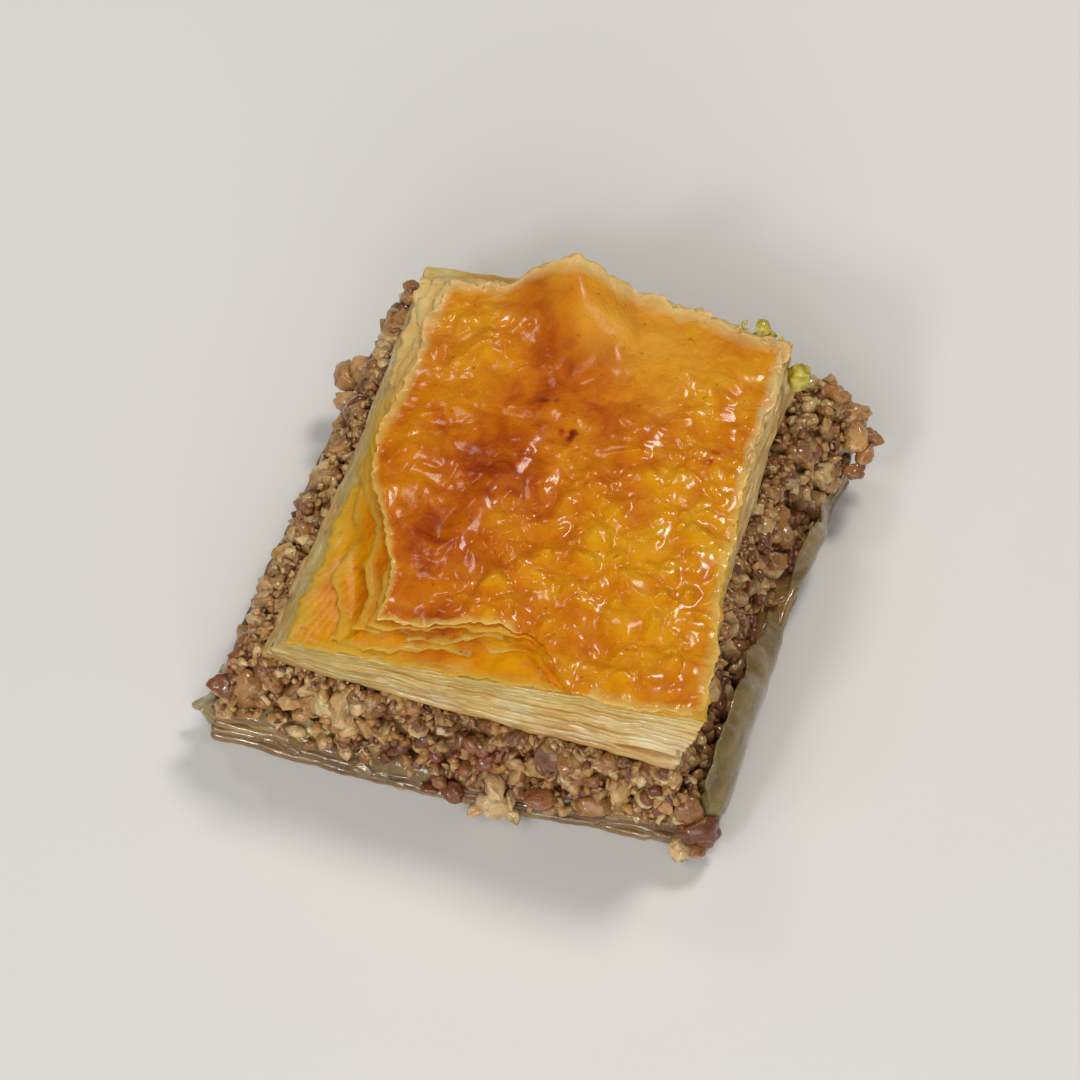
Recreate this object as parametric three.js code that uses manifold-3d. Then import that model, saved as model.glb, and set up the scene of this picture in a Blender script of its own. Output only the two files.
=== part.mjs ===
// A square of walnut baklava, cut from the tray: a foot of syrup-soaked pastry sheets, a bed of chopped
// walnuts, and a taller stack of sheets with a browned, blistered crust.
// Millimetres, +Z up. The origin is the middle of the piece's footprint, on the surface it rests on;
// the front cut faces -Y, and X runs along it to the right.

import * as THREE from "three";
import { LoftGeometry } from "three/addons/geometries/LoftGeometry.js";
import { SimplexNoise } from "three/addons/math/SimplexNoise.js";
import { mergeGeometries, mergeVertices } from "three/addons/utils/BufferGeometryUtils.js";
import Module from "manifold-3d";

// ---- driving dimensions ----

const REACH_X = 23.9; // from the middle to the last crumb, left and right
const REACH_Y = 24.3; // and to the front and back
const GAP = 0.3; // between one layer's solid and the next

const BASE_TOP = 3.4; // the foot of pastry ends here
const FILLING_TOP = 10.2; // and the walnuts here
const CRUST_FOOT = FILLING_TOP + GAP; // the upper stack of sheets starts here

// Outlines seen from above: corners front left, front right, back right, back left, and how far the
// front, right, back and left sides belly out between them.
const BASE_FOOT = {
  corners: [[-20.6, -23.2], [22.2, -20.0], [21.0, 19.6], [-20.8, 21.6]],
  bows: [0.5, -1.2, 1.4, 0.6],
};
const BASE_RIM = {
  corners: [[-20.9, -22.9], [22.6, -20.2], [20.8, 20.2], [-21.2, 21.2]],
  bows: [0.4, -0.6, 1.6, 0.7],
};
const FILLING_FOOT = {
  corners: [[-20.0, -22.3], [21.0, -19.7], [21.2, 21.4], [-20.2, 20.8]],
  bows: [0.2, -1.9, 1.3, 0.4],
};
const FILLING_RIM = {
  corners: [[-18.2, -22.2], [18.6, -20.6], [18.4, 21.6], [-18.8, 19.6]],
  bows: [0.2, -1.0, 1.0, 0.0],
};
const STACK_FOOT = {
  corners: [[-16.9, -21.5], [19.0, -20.6], [15.8, 19.8], [-18.2, 18.0]],
  bows: [0.2, -0.6, 0.6, -0.4],
};
const STACK_RIM = {
  corners: [[-14.4, -21.8], [21.2, -19.4], [15.2, 19.0], [-16.5, 17.2]],
  bows: [0.2, -1.0, 1.8, -0.8],
};

// The top of the stack: heights at the four corners of the sheets that reach the rim, and of the
// browned upper leaf, which is torn away along the left and the front.
const SHEET_HEIGHTS = [13.8, 16.6, 17.0, 16.4];
const LEAF_HEIGHTS = [16.4, 17.2, 17.7, 17.0];
const CROWN = 0.9; // how far the middle of the stack puffs up
const TEAR_STEP = 1.8; // width of the torn leaf's slope
const SWELL = { height: 0.45, length: 9 }; // the long waves of the baked leaf
const WRINKLE = { height: 0.42, length: 3.1 }; // and its short ones

// The leaf's lifted corner at the back, which stands up as a little tent.
const PEAK = { x: -4.6, halfWidth: 7.0, lift: 3.1, overhang: 1.3, reach: 0.3, undercut: 2.6 };

const STACK_SHEETS = 5; // bundles of sheets that show as ridges round the upper stack
const BASE_SHEETS = 3; // and round the foot
const LIP = 0.5; // how unevenly their edges end
const GROOVE = 0.45; // how deep the gaps between them are
const SHEET_SWAY = 0.3; // how far the stack's sheets wave up and down
const STACK_PER_SIDE = 24; // steps along each side of the upper stack
const BASE_PER_SIDE = 16;
const FILLING_PER_SIDE = 10;

// The foot's outer sheet curls up against the walnuts on the right, and one corner of it sticks out at
// the front left.
const CURL = { from: -20.4, to: 1.5, height: 5.0, thickness: 0.55, lean: 0.8 };
const FLAP = { reach: 2.3, root: 1.5, width: 6.5, thickness: 0.5, droop: 1.6 };

const CHUNK_SPACING = 3.1; // along the cut faces, middle to middle
const CHUNK_ROWS = [5.2, 8.4]; // heights of the rows of walnut pieces
const CHUNK_RADIUS = [1.4, 2.3]; // smallest and largest
const LEDGE = { chunks: 9, height: 9.9 }; // pieces that lie bare beside the stack, on the right

// ---- shared helpers ----

const { lerp, smoothstep } = THREE.MathUtils;

// A seeded stream of numbers from 0 to 1.
function seeded(seed) {
  let state = seed;
  return () => {
    state = (state + 0x6d2b79f5) | 0;
    let t = Math.imul(state ^ (state >>> 15), 1 | state);
    t = (t + Math.imul(t ^ (t >>> 7), 61 | t)) ^ t;
    return ((t ^ (t >>> 14)) >>> 0) / 4294967296;
  };
}

const noise = new SimplexNoise({ random: seeded(7) });

// A value given at four corners, in the outlines' order, blended across (u) and back (v).
function blend([frontLeft, frontRight, backRight, backLeft], u, v) {
  return lerp(lerp(frontLeft, frontRight, u), lerp(backLeft, backRight, u), v);
}

// The point of an outline's inside at u across and v back, each 0 to 1, as [x, y].
function place({ corners, bows: [front, right, back, left] }, u, v) {
  const x = blend(corners.map((c) => c[0]), u, v);
  const y = blend(corners.map((c) => c[1]), u, v);
  const alongSide = Math.sin(Math.PI * v);
  const alongFront = Math.sin(Math.PI * u);
  return [
    x + (right * u - left * (1 - u)) * alongSide,
    y + (back * v - front * (1 - v)) * alongFront,
  ];
}

// The point of the outline that lies a share of the way from one outline to another.
function between(foot, rim, share, u, v) {
  const [footX, footY] = place(foot, u, v);
  const [rimX, rimY] = place(rim, u, v);
  return [lerp(footX, rimX, share), lerp(footY, rimY, share)];
}

function isEdge(u, v) {
  return u === 0 || u === 1 || v === 0 || v === 1;
}

// The places round an outline, counter-clockwise from the front left corner, as [u, v].
function edgePlaces(perSide) {
  const shares = Array.from({ length: perSide }, (_, i) => i / perSide);
  return [
    ...shares.map((s) => [s, 0]),
    ...shares.map((s) => [1, s]),
    ...shares.map((s) => [1 - s, 1]),
    ...shares.map((s) => [0, 1 - s]),
  ];
}

// The way out from the middle at a place on the edge, squared off so that sides move straight out.
function outward(u, v) {
  const across = Math.pow(2 * u - 1, 9);
  const back = Math.pow(2 * v - 1, 9);
  const length = Math.hypot(across, back) || 1;
  return [across / length, back / length];
}

// A closed slab: edge(u, v, level) gives its side for each level, the first of them its flat
// underside, and surface(u, v) its top, which meets the last level at the rim.
function slab({ perSide, levels, edge, surface }) {
  const places = edgePlaces(perSide);
  const rings = levels.map((level) => places.map(([u, v]) => edge(u, v, level)));
  rings.push(places.map(([u, v]) => surface(u, v)));
  const side = new LoftGeometry(rings, { capStart: true });
  const top = new THREE.PlaneGeometry(1, 1, perSide, perSide);
  const position = top.getAttribute("position");
  for (let i = 0; i < position.count; i++) {
    const u = Math.round((position.getX(i) + 0.5) * perSide) / perSide;
    const v = Math.round((position.getY(i) + 0.5) * perSide) / perSide;
    position.setXYZ(i, ...surface(u, v));
  }
  return mergeGeometries([side, top]);
}

// A thin sheet: bend(a, b) gives its middle at a along and b across, each 0 to 1, and its thickness
// lies along normal.
function sheet({ along, across, thickness, normal, bend }) {
  const box = new THREE.BoxGeometry(1, 1, thickness, along, across, 1);
  const position = box.getAttribute("position");
  for (let i = 0; i < position.count; i++) {
    const middle = bend(position.getX(i) + 0.5, position.getY(i) + 0.5);
    middle.addScaledVector(normal, position.getZ(i));
    position.setXYZ(i, ...middle);
  }
  return box;
}

const wasm = await Module();
wasm.setup();

// A closed geometry as a solid that can be joined and cut.
function solidOf(geometry) {
  const bare = geometry.clone();
  bare.deleteAttribute("normal");
  bare.deleteAttribute("uv");
  const merged = mergeVertices(bare, 1e-4);
  return new wasm.Manifold(new wasm.Mesh({
    numProp: 3,
    vertProperties: merged.getAttribute("position").array,
    triVerts: new Uint32Array(merged.index.array),
  }));
}

// The solid's largest piece as a geometry: a boolean can leave a loose scrap, which is dropped.
function geometryOf(solid) {
  const pieces = solid.decompose().sort((a, b) => b.volume() - a.volume());
  const mesh = pieces[0].getMesh();
  const geometry = new THREE.BufferGeometry();
  geometry.setAttribute("position", new THREE.BufferAttribute(mesh.vertProperties, 3));
  geometry.setIndex(new THREE.BufferAttribute(mesh.triVerts, 1));
  geometry.computeVertexNormals();
  return geometry;
}

function boxSolid([x, y, z], [middleX, middleY, middleZ]) {
  return solidOf(new THREE.BoxGeometry(x, y, z).translate(middleX, middleY, middleZ));
}

// What the knife and the resting surface leave: nothing reaches past it.
const TALL = 40;
const cutOut = boxSolid([2 * REACH_X, 2 * REACH_Y, TALL], [0, 0, TALL / 2]);

// ---- stacks of pastry sheets ----

// The levels of a stack: each bundle of sheets has a lower and an upper lip, and a groove parts it
// from the next.
function sheetLevels(count) {
  const levels = [];
  for (let i = 0; i < count; i++) {
    levels.push({ share: (i + 0.06) / count, bundle: i, groove: false });
    if (i < count - 1) {
      levels.push({ share: (i + 0.78) / count, bundle: i, groove: false });
      levels.push({ share: (i + 0.93) / count, bundle: i, groove: true });
    }
  }
  levels[0].share = 0;
  return levels;
}

// How far a bundle's edge stands out of the stack at x, y.
function lipAt(x, y, bundle, groove, grow) {
  const ragged = LIP * noise.noise3d(x / 7, y / 7, bundle * 3.7);
  const torn = 0.5 * LIP * noise.noise3d(x / 2.2, y / 2.2, bundle * 5.1 + 20);
  return ragged + torn - (groove ? GROOVE : 0) + grow;
}

// ---- the foot of soaked sheets ----

// The foot's slab, grown by a clearance when it is the space that its neighbours leave.
function baseSlab(grow) {
  const edge = (u, v, { share, bundle, groove }, z) => {
    const [x, y] = between(BASE_FOOT, BASE_RIM, share, u, v);
    const [outX, outY] = outward(u, v);
    const lip = lipAt(x, y, bundle, groove, grow);
    return new THREE.Vector3(x + outX * lip, y + outY * lip, z);
  };
  const rim = { share: 1, bundle: BASE_SHEETS - 1, groove: false };
  const top = BASE_TOP + grow;
  return slab({
    perSide: BASE_PER_SIDE,
    levels: sheetLevels(BASE_SHEETS),
    edge: (u, v, level) => edge(u, v, level, level.share * BASE_TOP),
    surface: (u, v) => {
      if (isEdge(u, v)) return edge(u, v, rim, top);
      return new THREE.Vector3(...place(BASE_RIM, u, v), top);
    },
  });
}

// The sheet that stands up along the foot's right side, thinning to nothing at its back end.
function curlSheet(thickness) {
  const sunk = 0.6; // its root lies inside the foot
  return sheet({
    along: 16,
    across: 4,
    thickness,
    normal: new THREE.Vector3(1, 0, 0),
    bend: (a, b) => {
      const y = lerp(CURL.from, CURL.to, a);
      const v = (y - BASE_RIM.corners[1][1]) / (BASE_RIM.corners[2][1] - BASE_RIM.corners[1][1]);
      const [rimX] = place(BASE_RIM, 1, v);
      const crest = CURL.height * Math.pow(Math.sin(Math.PI * lerp(0.32, 1, a)), 0.6);
      const ragged = 1 + 0.18 * noise.noise(y / 2.4, 3);
      const z = BASE_TOP - sunk + b * (sunk + crest * ragged);
      const sway = 0.45 * noise.noise(y / 4, b * 1.5 + 9);
      return new THREE.Vector3(rimX - 0.35 + sway - CURL.lean * b * b, y, z);
    },
  });
}

// The sheet corner that sticks out at the front left, drooping to the resting surface.
function flapSheet() {
  const [cornerX, cornerY] = BASE_RIM.corners[0];
  return sheet({
    along: 6,
    across: 6,
    thickness: FLAP.thickness,
    normal: new THREE.Vector3(0, 0, 1),
    bend: (a, b) => {
      const out = 1 - a;
      const x = cornerX + FLAP.root - out * (FLAP.reach + FLAP.root);
      const y = cornerY + 1.5 + (b - 0.2) * FLAP.width * (1 - 0.75 * out) + out;
      const wave = 0.35 * Math.sin(5 * b + 2 * out);
      return new THREE.Vector3(x, y, BASE_TOP - 0.8 - FLAP.droop * out * out + wave * out);
    },
  });
}

function basePastry() {
  const foot = solidOf(baseSlab(0));
  return foot.add(solidOf(curlSheet(CURL.thickness))).add(solidOf(flapSheet())).intersect(cutOut);
}

// ---- the upper stack ----

// 1 on the lifted tent at the back of the leaf, falling to 0 at its foot.
function tent(x, v) {
  const slope = Math.max(0, 1 - Math.abs(x - PEAK.x) / PEAK.halfWidth);
  return slope * smoothstep(v, 1 - PEAK.reach, 1);
}

// 1 where the browned leaf covers the stack, 0 where it is torn away. The tear runs up the left from
// the front, and along the front as far as the right third.
function leafCover(x, y) {
  const leftTear = -8.0 - 6.4 * smoothstep(y, -19.5, -2.6);
  const frontTear = -20.3 + 2.7 * smoothstep(x, -7.8, 5) - 3.4 * smoothstep(x, 7, 15);
  const inside = Math.min(x - leftTear, y - frontTear);
  return smoothstep(inside, 0, TEAR_STEP);
}

function crustHeight(u, v) {
  const [x, y] = place(STACK_RIM, u, v);
  const crown = CROWN * Math.sin(Math.PI * u) * Math.sin(Math.PI * v);
  const cover = leafCover(x, y);
  const level = lerp(blend(SHEET_HEIGHTS, u, v), blend(LEAF_HEIGHTS, u, v), cover);
  const swell = SWELL.height * noise.noise(x / SWELL.length, y / SWELL.length);
  const crease = 1 - Math.abs(noise.noise(x / WRINKLE.length + 40, y / WRINKLE.length));
  const wrinkles = WRINKLE.height * (crease * crease - 0.4) * (0.35 + 0.65 * cover);
  return level + crown + swell + wrinkles + PEAK.lift * tent(x, v);
}

function crustPoint(u, v, grow) {
  const [x, y] = place(STACK_RIM, u, v);
  const lip = isEdge(u, v) ? lipAt(x, y, STACK_SHEETS, false, grow) : 0;
  const [outX, outY] = outward(u, v);
  return new THREE.Vector3(
    x + outX * lip,
    y + outY * lip + PEAK.overhang * tent(x, v),
    crustHeight(u, v) + grow,
  );
}

// The top bundle of sheets lifts with the tent, and leaves a hollow under it.
function stackEdge(u, v, { share, bundle, groove }, grow) {
  const [x, y] = between(STACK_FOOT, STACK_RIM, share, u, v);
  const [rimX] = place(STACK_RIM, u, v);
  const peak = tent(rimX, v);
  const liftsWithPeak = bundle === STACK_SHEETS - 1;
  const underPeak = bundle === STACK_SHEETS - 2 && groove;
  const lifted = liftsWithPeak ? 0.92 : underPeak ? 0.35 : 0;
  const rim = crustHeight(u, v) - PEAK.lift * peak;
  const sway = share === 0 ? 0 : SHEET_SWAY * (1 - share) * noise.noise3d(x / 8, y / 8, bundle + 50);
  const z = lerp(CRUST_FOOT - grow, rim, share) + sway + lifted * PEAK.lift * peak;
  const [outX, outY] = outward(u, v);
  const lip = lipAt(x, y, bundle, groove, grow) - (underPeak ? PEAK.undercut * peak : 0);
  const reach = liftsWithPeak ? PEAK.overhang * peak : 0;
  return new THREE.Vector3(x + outX * lip, y + outY * lip + reach, z);
}

// A green-gold pistachio crumb or a nut grain that stuck to the crust's back right corner.
const CRUST_CRUMBS = [
  { at: [12.3, 20.1, 17.6], radius: 1.0 },
  { at: [16.2, 19.0, 15.6], radius: 1.25 },
  { at: [14.6, 19.6, 17.0], radius: 0.7 },
];

// The stack, grown by a clearance when it is the space that the walnuts leave.
function stackSlab(grow) {
  return slab({
    perSide: STACK_PER_SIDE,
    levels: sheetLevels(STACK_SHEETS),
    edge: (u, v, level) => stackEdge(u, v, level, grow),
    surface: (u, v) => crustPoint(u, v, grow),
  });
}

function topPastry() {
  const stack = solidOf(stackSlab(0));
  const random = seeded(31);
  const crumbs = CRUST_CRUMBS.map(({ at, radius }) => chunkSolid(at, radius, random));
  return wasm.Manifold.union([stack, ...crumbs]).intersect(cutOut);
}

// ---- the walnut filling ----

// One piece of chopped walnut: a lump with the flat, uneven faces that a knife leaves.
function chunkSolid([x, y, z], radius, random) {
  const bare = new THREE.IcosahedronGeometry(radius, 0);
  bare.deleteAttribute("normal");
  bare.deleteAttribute("uv");
  const chunk = mergeVertices(bare, 1e-4);
  const position = chunk.getAttribute("position");
  for (let i = 0; i < position.count; i++) {
    const reach = 0.78 + 0.44 * random();
    position.setXYZ(i, reach * position.getX(i), reach * position.getY(i), reach * position.getZ(i));
  }
  chunk.scale(1, 0.75 + 0.4 * random(), 0.65 + 0.3 * random());
  chunk.rotateX(Math.PI * random());
  chunk.rotateZ(2 * Math.PI * random());
  chunk.translate(x, y, z);
  return solidOf(chunk);
}

// Walnut pieces that stand out of the cut faces, or have slid down to the resting surface.
const LOOSE_CHUNKS = [
  { at: [21.9, 20.6, 6.0], radius: 2.7 }, // the back right corner
  { at: [19.6, 22.4, 6.8], radius: 2.2 },
  { at: [4.4, -22.7, 4.6], radius: 2.1 }, // hangs over the front of the foot
  { at: [4.6, -24.0, 2.2], radius: 2.0 }, // and rests in front of it
  { at: [0.8, -23.2, 2.4], radius: 1.3 },
  { at: [8.2, -22.3, 3.6], radius: 1.7 },
  { at: [12.4, -21.8, 3.9], radius: 1.6 },
  { at: [20.4, -20.6, 4.9], radius: 1.9 }, // the front right corner
  { at: [21.0, -21.9, 2.9], radius: 1.7 },
  { at: [20.8, -22.6, 1.6], radius: 1.8 },
  { at: [-22.4, 13.2, 5.2], radius: 1.8 }, // the left side
  { at: [-21.4, 10.4, 4.9], radius: 1.5 },
];

function nutFilling() {
  const foot = BASE_TOP + GAP;
  const core = solidOf(slab({
    perSide: FILLING_PER_SIDE,
    levels: [{ share: 0 }, { share: 0.5 }],
    edge: (u, v, { share }) => {
      const [x, y] = between(FILLING_FOOT, FILLING_RIM, share, u, v);
      const [outX, outY] = outward(u, v);
      const lip = 0.5 * noise.noise3d(x / 3, y / 3, share * 9) - 0.4;
      return new THREE.Vector3(x + outX * lip, y + outY * lip, lerp(foot, FILLING_TOP, share));
    },
    surface: (u, v) => new THREE.Vector3(...place(FILLING_RIM, u, v), FILLING_TOP),
  }));

  const random = seeded(11);
  const chunks = [];
  for (const height of CHUNK_ROWS) {
    const share = (height - foot) / (FILLING_TOP - foot);
    const perSide = Math.round((REACH_X + REACH_Y) / CHUNK_SPACING);
    for (const [u, v] of edgePlaces(perSide)) {
      const drift = (random() - 0.5) / perSide;
      const [outX, outY] = outward(u, v);
      const slid = [u + Math.abs(outY) * drift, v + Math.abs(outX) * drift];
      const [x, y] = between(FILLING_FOOT, FILLING_RIM, share, ...slid);
      const radius = lerp(...CHUNK_RADIUS, Math.pow(random(), 1.5));
      const stand = 0.9 * (random() - 0.75);
      const z = height + 0.9 * (random() - 0.5);
      chunks.push(chunkSolid([x + outX * stand, y + outY * stand, z], radius, random));
    }
  }
  for (let i = 0; i < LEDGE.chunks; i++) {
    const v = (i + 0.5 + 0.5 * (random() - 0.5)) / LEDGE.chunks;
    const [innerX, y] = place(STACK_FOOT, 1, v);
    const [outerX] = place(FILLING_RIM, 1, v);
    const x = lerp(innerX, outerX, 0.5) + GAP;
    chunks.push(chunkSolid([x, y, LEDGE.height], lerp(...CHUNK_RADIUS, 0.5 * random()), random));
  }
  for (const { at, radius } of LOOSE_CHUNKS) chunks.push(chunkSolid(at, radius, random));

  const spaces = [
    solidOf(stackSlab(GAP)),
    solidOf(baseSlab(GAP)),
    solidOf(curlSheet(CURL.thickness + 2 * GAP)),
  ];
  return wasm.Manifold.union([core, ...chunks]).subtract(wasm.Manifold.union(spaces)).intersect(cutOut);
}

// ---- the piece ----

function layer(name, solid, color, roughness) {
  const material = new THREE.MeshStandardMaterial({ color, roughness, metalness: 0, flatShading: true });
  const mesh = new THREE.Mesh(geometryOf(solid), material);
  mesh.name = name;
  return mesh;
}

const baklava = new THREE.Group();
baklava.add(layer("base_pastry", basePastry(), "#9c8656", 0.35));
baklava.add(layer("nut_filling", nutFilling(), "#83603c", 0.55));
baklava.add(layer("top_pastry", topPastry(), "#cf8a22", 0.3));

export default baklava;
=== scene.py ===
# A square of walnut baklava, dressed over its plain solids. Lengths are in millimetres until a piece's
# mesh is finished, which brings it to metres in the part's own frame.

import math
import random

import bmesh
import bpy
from mathutils import Matrix, Vector, noise
from mathutils.bvhtree import BVHTree


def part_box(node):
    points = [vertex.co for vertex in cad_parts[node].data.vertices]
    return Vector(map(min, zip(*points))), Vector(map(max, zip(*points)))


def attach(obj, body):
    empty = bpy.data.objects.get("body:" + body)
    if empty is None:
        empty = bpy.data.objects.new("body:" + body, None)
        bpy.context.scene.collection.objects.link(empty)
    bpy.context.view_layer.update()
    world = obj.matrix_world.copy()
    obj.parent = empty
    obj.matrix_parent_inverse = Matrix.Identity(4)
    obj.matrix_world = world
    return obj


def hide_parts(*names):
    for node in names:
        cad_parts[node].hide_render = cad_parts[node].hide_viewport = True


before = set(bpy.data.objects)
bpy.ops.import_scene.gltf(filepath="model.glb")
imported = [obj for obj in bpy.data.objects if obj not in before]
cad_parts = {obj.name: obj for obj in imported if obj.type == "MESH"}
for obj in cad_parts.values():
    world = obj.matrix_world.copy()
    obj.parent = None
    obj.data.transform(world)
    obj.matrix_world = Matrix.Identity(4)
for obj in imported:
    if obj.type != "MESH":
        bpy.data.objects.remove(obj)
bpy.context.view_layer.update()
scene = bpy.context.scene
MM = 0.001


# ---- Camera, table and light ----
# A small tabletop set: the camera stands in front and a little to the right, and looks down on the crust.
# The key light and a smaller lamp beside it stand behind the piece, low enough to glint along the syruped
# blisters. Soft boxes fill in from the front, and a small lamp there picks out wet spots on the cut.

CAMERA_SPOT = Vector((0.1214, -0.3301, 0.4866))
CAMERA_AIM = Vector((0.0, -0.0004, 0.0075))
CAMERA_LENS = 236.0
LIGHT_AIM = Vector((0.0, 0.0, 0.01))
# Each light: its name, where it stands, its side in metres, its power in watts and its colour.
LIGHTS = (
    ("key", (0.15, 0.38, 0.62), 0.16, 2.2, (1.0, 0.94, 0.87)),
    ("back_left", (-0.34, 0.32, 0.68), 0.12, 0.5, (1.0, 0.92, 0.84)),
    ("high_front", (-0.36, -0.46, 0.76), 0.40, 1.2, (1.0, 0.98, 0.96)),
    ("front", (0.34, -0.85, 0.52), 0.80, 5.6, (1.0, 1.0, 1.0)),
    ("sparkle", (-0.14, -0.62, 0.50), 0.13, 1.5, (1.0, 1.0, 1.0)),
)
ROOM_LIGHT = 0.11
TABLE_REACH = 1.6
CLEARANCE = 0.02  # how far the table lies below the part's floor, and the walnuts stay above it


def add_object(name, data):
    """Puts a mesh, a light or a camera in the scene."""
    made = bpy.data.objects.new(name, data)
    scene.collection.objects.link(made)
    return made


def aim(holder, spot, target):
    """Stands a camera or a light at a spot and turns it to a target."""
    holder.location = spot
    holder.rotation_euler = (target - spot).to_track_quat("-Z", "Y").to_euler()


def close_mesh(name, pieces):
    """Ends the work on a mesh and makes it one that an object can hold."""
    mesh = bpy.data.meshes.new(name)
    pieces.to_mesh(mesh)
    pieces.free()
    return mesh


def srgb(red, green, blue):
    """A colour as it looks on screen, 0 to 255 each, as the linear values that a shader takes."""
    def linear(value):
        value /= 255
        return value / 12.92 if value <= 0.04045 else ((value + 0.055) / 1.055) ** 2.4
    return (linear(red), linear(green), linear(blue), 1.0)


def node(tree, kind, inputs=(), **settings):
    """Adds a shader node. Each input is set to a value, or wired to the output that it is given."""
    made = tree.nodes.new("ShaderNode" + kind)
    for name, value in settings.items():
        setattr(made, name, value)
    for name, value in dict(inputs).items():
        if isinstance(value, bpy.types.NodeSocket):
            tree.links.new(value, made.inputs[name])
        else:
            made.inputs[name].default_value = value
    return made


def new_material(name, **shader_settings):
    """A material with one Principled shader, whose plain settings are given by name."""
    material = bpy.data.materials.new(name)
    material.use_nodes = True
    tree = material.node_tree
    tree.nodes.clear()
    output = node(tree, "OutputMaterial")
    shader = node(tree, "BsdfPrincipled")
    for label, value in shader_settings.items():
        shader.inputs[label.replace("_", " ")].default_value = value
    tree.links.new(shader.outputs["BSDF"], output.inputs["Surface"])
    return material, tree, shader


def feed(tree, shader, **outputs):
    """Wires outputs to the shader's inputs, which are given by name."""
    for label, output in outputs.items():
        tree.links.new(output, shader.inputs[label.replace("_", " ")])


def ramp(tree, value, stops):
    """A colour that follows a value through stops of (position, red, green, blue)."""
    made = node(tree, "ValToRGB", {"Fac": value})
    elements = made.color_ramp.elements
    while len(elements) < len(stops):
        elements.new(0.5)
    for element, (position, *color) in zip(elements, stops):
        element.position = position
        element.color = srgb(*color)
    return made.outputs["Color"]


def clouds(tree, place, scale, detail=3.0, roughness=0.5, distortion=0.0):
    """Soft noise, 0 to 1. The scale is in patches for each metre."""
    inputs = {
        "Vector": place, "Scale": scale, "Detail": detail, "Roughness": roughness, "Distortion": distortion
    }
    return node(tree, "TexNoise", inputs).outputs["Fac"]


camera = add_object("camera", bpy.data.cameras.new("camera"))
camera.data.lens = CAMERA_LENS
aim(camera, CAMERA_SPOT, CAMERA_AIM)
scene.camera = camera
scene.view_settings.view_transform = "Standard"

for name, light_spot, side, power, light_color in LIGHTS:
    light = bpy.data.lights.new(name, "AREA")
    light.size = side
    light.energy = power
    light.color = light_color
    aim(add_object(name, light), Vector(light_spot), LIGHT_AIM)

room = bpy.data.worlds.new("room")
room.use_nodes = True
room_inputs = room.node_tree.nodes["Background"].inputs
room_inputs["Color"].default_value = (1.0, 1.0, 1.0, 1.0)
room_inputs["Strength"].default_value = ROOM_LIGHT
scene.world = room

table_grid = bmesh.new()
bmesh.ops.create_grid(table_grid, x_segments=4, y_segments=4, size=TABLE_REACH)
bmesh.ops.translate(table_grid, vec=(0, 0, -CLEARANCE * MM), verts=table_grid.verts[:])
table = add_object("table", close_mesh("table", table_grid))
table_material, table_tree, table_shader = new_material("pale_table", Roughness=0.6)
table_mottle = clouds(table_tree, node(table_tree, "TexCoord").outputs["Object"], 9.0)
table_color = ramp(table_tree, table_mottle, [(0.0, 219, 218, 215), (1.0, 226, 225, 222)])
feed(table_tree, table_shader, Base_Color=table_color)
table.data.materials.append(table_material)


# ---- The foot: soaked pastry sheets ----
# The lowest sheets of pastry took up most of the syrup: they are limp, glassy and pressed flat under the
# rest. The knife left their edges ragged, and each sheet ends a little short of the next or past it.

FOOT_TOP = 3.4
FOOT_OUTLINES = (
    (((-20.5, -24.2), (22.2, -20.6), (21.0, 19.8), (-20.8, 21.6)), (0.6, -1.2, 1.4, 0.6)),
    (((-20.9, -23.3), (22.6, -20.2), (20.8, 20.2), (-21.2, 21.2)), (0.5, -0.6, 1.6, 0.7)),
)
FOOT_SHEETS = 5
SHEET_STEPS = 96  # grid cells along each side of a sheet
SHEET_BAND = 0.09  # share of the sheet, at each edge, that keeps its fine grid
EDGE_BAND = 0.05  # share of the sheet, at each edge, that the knife drew out of line
SHARP = 1.1  # the angle, in radians, from which a sheet's edge is rounded
FOOT_REST = 0.68  # how high the middle of the lowest sheet lies, in sheets


def lerp(low, high, share):
    return low + (high - low) * share


def spot(outline, u, v):
    """The point u across and v back, 0 to 1 each, inside four corners whose sides belly out."""
    (front_left, front_right, back_right, back_left), (front, right, back, left) = outline
    place = []
    for axis in (0, 1):
        near = lerp(front_left[axis], front_right[axis], u)
        far = lerp(back_left[axis], back_right[axis], u)
        place.append(lerp(near, far, v))
    place[0] += (right * u - left * (1 - u)) * math.sin(math.pi * v)
    place[1] += (back * v - front * (1 - v)) * math.sin(math.pi * u)
    return place


def between(outlines, share, u, v):
    """The same point on the outline that lies a share of the way from the lower to the upper one."""
    low, high = (spot(outline, u, v) for outline in outlines)
    return [lerp(a, b, share) for a, b in zip(low, high)]


def outward(u, v):
    """The way out of a square at u, v: straight out of its sides, and turning at its corners."""
    across, back = (2 * u - 1) ** 9, (2 * v - 1) ** 9
    length = math.hypot(across, back) or 1.0
    return across / length, back / length


def wander(x, y, seed, size):
    """Smooth noise from about -1 to 1 over patches of that size."""
    return noise.noise(Vector((x / size, y / size, seed * 7.31)))


def ease(value, low, high):
    """0 up to low, 1 from high on, and a soft step between them."""
    t = min(1.0, max(0.0, (value - low) / (high - low)))
    return t * t * (3 - 2 * t)


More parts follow.
